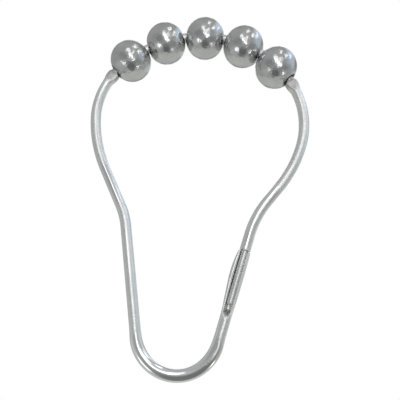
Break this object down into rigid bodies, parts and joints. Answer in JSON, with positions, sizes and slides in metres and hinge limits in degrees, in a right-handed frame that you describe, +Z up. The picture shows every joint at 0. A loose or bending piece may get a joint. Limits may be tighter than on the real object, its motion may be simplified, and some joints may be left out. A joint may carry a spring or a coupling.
{
  "type": "shower curtain hook",
  "caption": "Roller shower curtain hook: a pear-shaped sprung wire ring with hollow balls that roll on the rod and a snap latch on one leg for the curtain's eyelet.",
  "frame": {"origin": "the point under the middle ball that sits on top of the shower rod, at mid depth", "axes": "+Z up, from the curtain's bend to the balls; +Y along the rod, away from the viewer, through the ring's depth; +X across the ring, towards the latch leg"},
  "size_m": [0.049, 0.0098, 0.0812],
  "materials": {
    "bright_chrome": "polished",
    "satin_steel": "satin"
  },
  "bodies": {
    "ring": {"wire_ring": "bright_chrome"},
    "ball_1": {"roller_ball_1": "satin_steel"},
    "ball_2": {"roller_ball_2": "satin_steel"},
    "ball_3": {"roller_ball_3": "satin_steel"},
    "ball_4": {"roller_ball_4": "satin_steel"},
    "ball_5": {"roller_ball_5": "satin_steel"}
  },
  "joints": [
    {"name": "ball_1_spin", "type": "hinge", "parent": "ring", "child": "ball_1", "pos_m": [-0.01682, 0, -0.00192], "axis": [0.7214, 0, 0.6925], "continuous": true},
    {"name": "ball_2_spin", "type": "hinge", "parent": "ring", "child": "ball_2", "pos_m": [-0.00907, 0, 0.00309], "axis": [0.9277, 0, 0.3732], "continuous": true},
    {"name": "ball_3_spin", "type": "hinge", "parent": "ring", "child": "ball_3", "pos_m": [0, 0, 0.00485], "axis": [1, 0, 0], "continuous": true},
    {"name": "ball_4_spin", "type": "hinge", "parent": "ring", "child": "ball_4", "pos_m": [0.00907, 0, 0.00309], "axis": [0.9277, 0, -0.3732], "continuous": true},
    {"name": "ball_5_spin", "type": "hinge", "parent": "ring", "child": "ball_5", "pos_m": [0.01682, 0, -0.00192], "axis": [0.7214, 0, -0.6925], "continuous": true}
  ]
}
